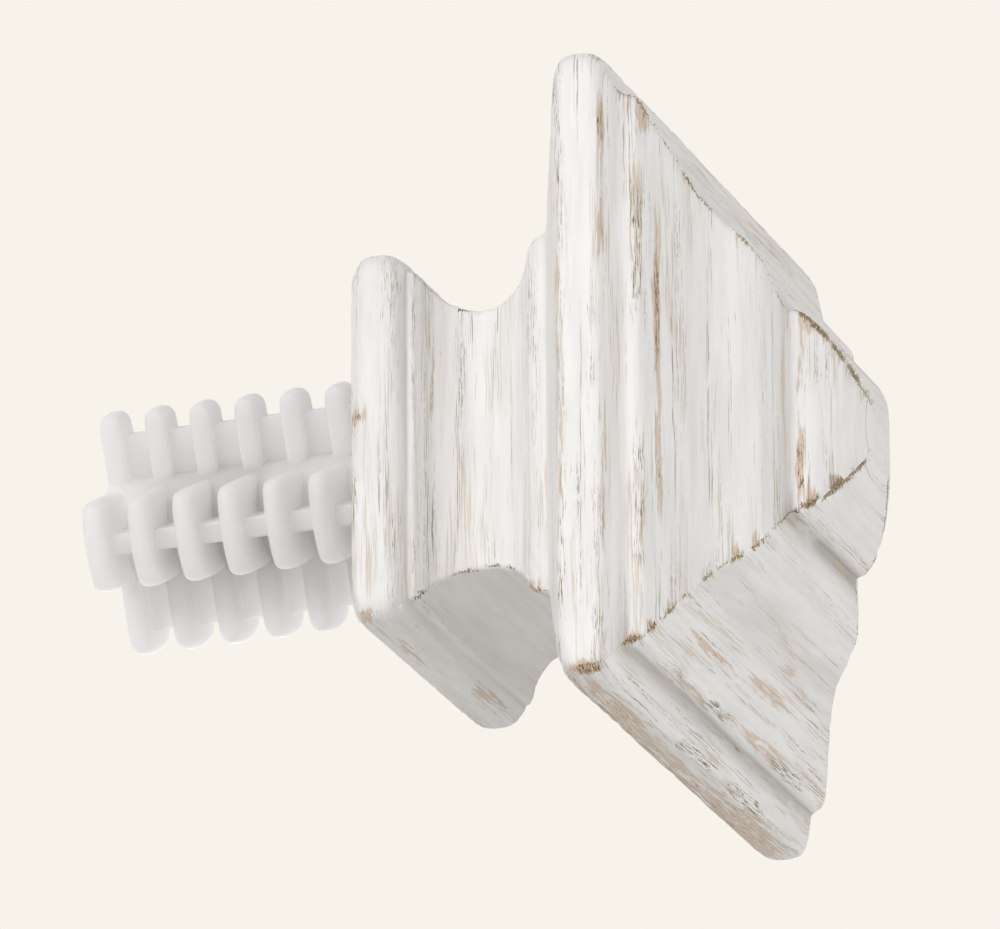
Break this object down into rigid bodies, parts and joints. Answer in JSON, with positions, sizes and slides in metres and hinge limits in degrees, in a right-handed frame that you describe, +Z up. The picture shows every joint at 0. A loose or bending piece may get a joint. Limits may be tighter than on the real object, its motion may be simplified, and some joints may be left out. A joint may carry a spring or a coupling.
{
  "type": "curtain pole finial",
  "caption": "Square stepped curtain pole finial with a domed tip, a wide moulded flange and a hollow neck, on a ribbed plug that presses into the end of a tubular pole.",
  "frame": {"origin": "on the axis, in the back face of the head, where the end of the pole rests", "axes": "+X along the axis from the pole to the tip, +Z up, +Y away from the side in the picture"},
  "size_m": [0.0794, 0.0636, 0.0636],
  "materials": {
    "head_paint": "cast resin with brushed and rubbed-back white paint",
    "plug_plastic": "milky moulded polyethylene",
    "screw_steel": "zinc plated"
  },
  "bodies": {
    "root": {"finial_head": "head_paint", "pole_plug": "plug_plastic", "plug_screw": "screw_steel"}
  },
  "joints": []
}
